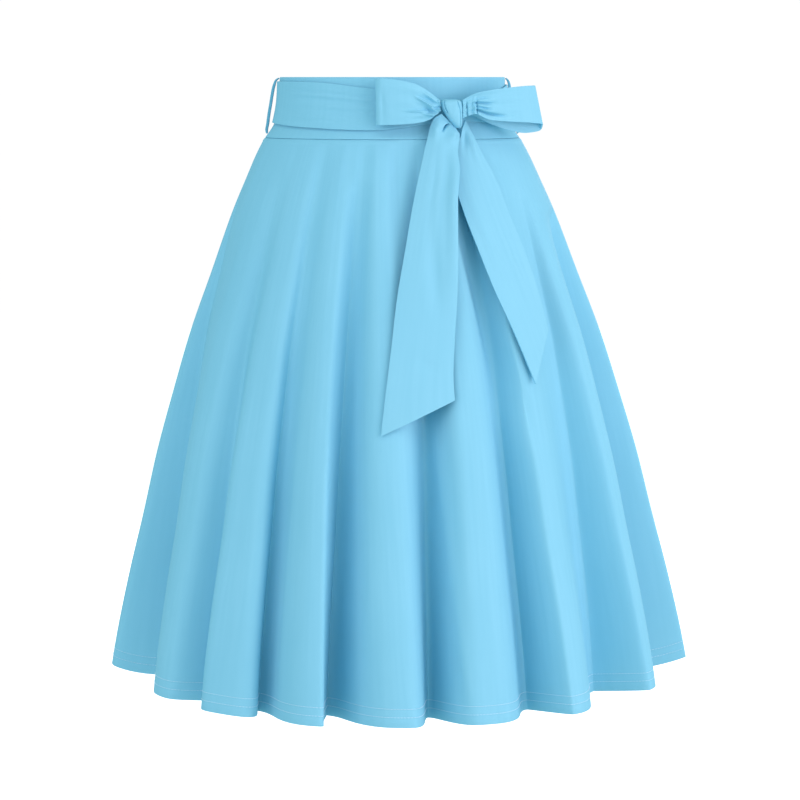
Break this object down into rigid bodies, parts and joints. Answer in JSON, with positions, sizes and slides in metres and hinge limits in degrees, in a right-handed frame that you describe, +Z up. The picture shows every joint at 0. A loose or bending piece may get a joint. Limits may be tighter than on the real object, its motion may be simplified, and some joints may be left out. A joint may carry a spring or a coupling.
{
  "type": "a-line skirt",
  "caption": "Flared a-line skirt in worn form, with a waistband, belt loops and a wide sash tied in a bow at the front.",
  "frame": {"origin": "middle of the waist opening, level with the top edge of the waistband", "axes": "+Z up out of the waist opening, -Y to the front, +X to the right of somebody who looks at the front"},
  "size_m": [0.642, 0.5505, 0.6604],
  "materials": {
    "skirt_cloth": "smooth matt weave with a soft sheen",
    "band_cloth": "smooth matt weave with a soft sheen",
    "sash_cloth": "smooth matt weave with a soft sheen"
  },
  "bodies": {
    "root": {"skirt_front": "skirt_cloth", "skirt_back": "skirt_cloth", "waistband_front": "band_cloth", "waistband_back": "band_cloth", "belt_loop_left": "band_cloth", "belt_loop_right": "band_cloth", "sash_waist": "sash_cloth", "bow_loop_left": "sash_cloth", "bow_loop_right": "sash_cloth", "bow_knot": "sash_cloth", "tail_left": "sash_cloth", "tail_right": "sash_cloth"}
  },
  "joints": []
}
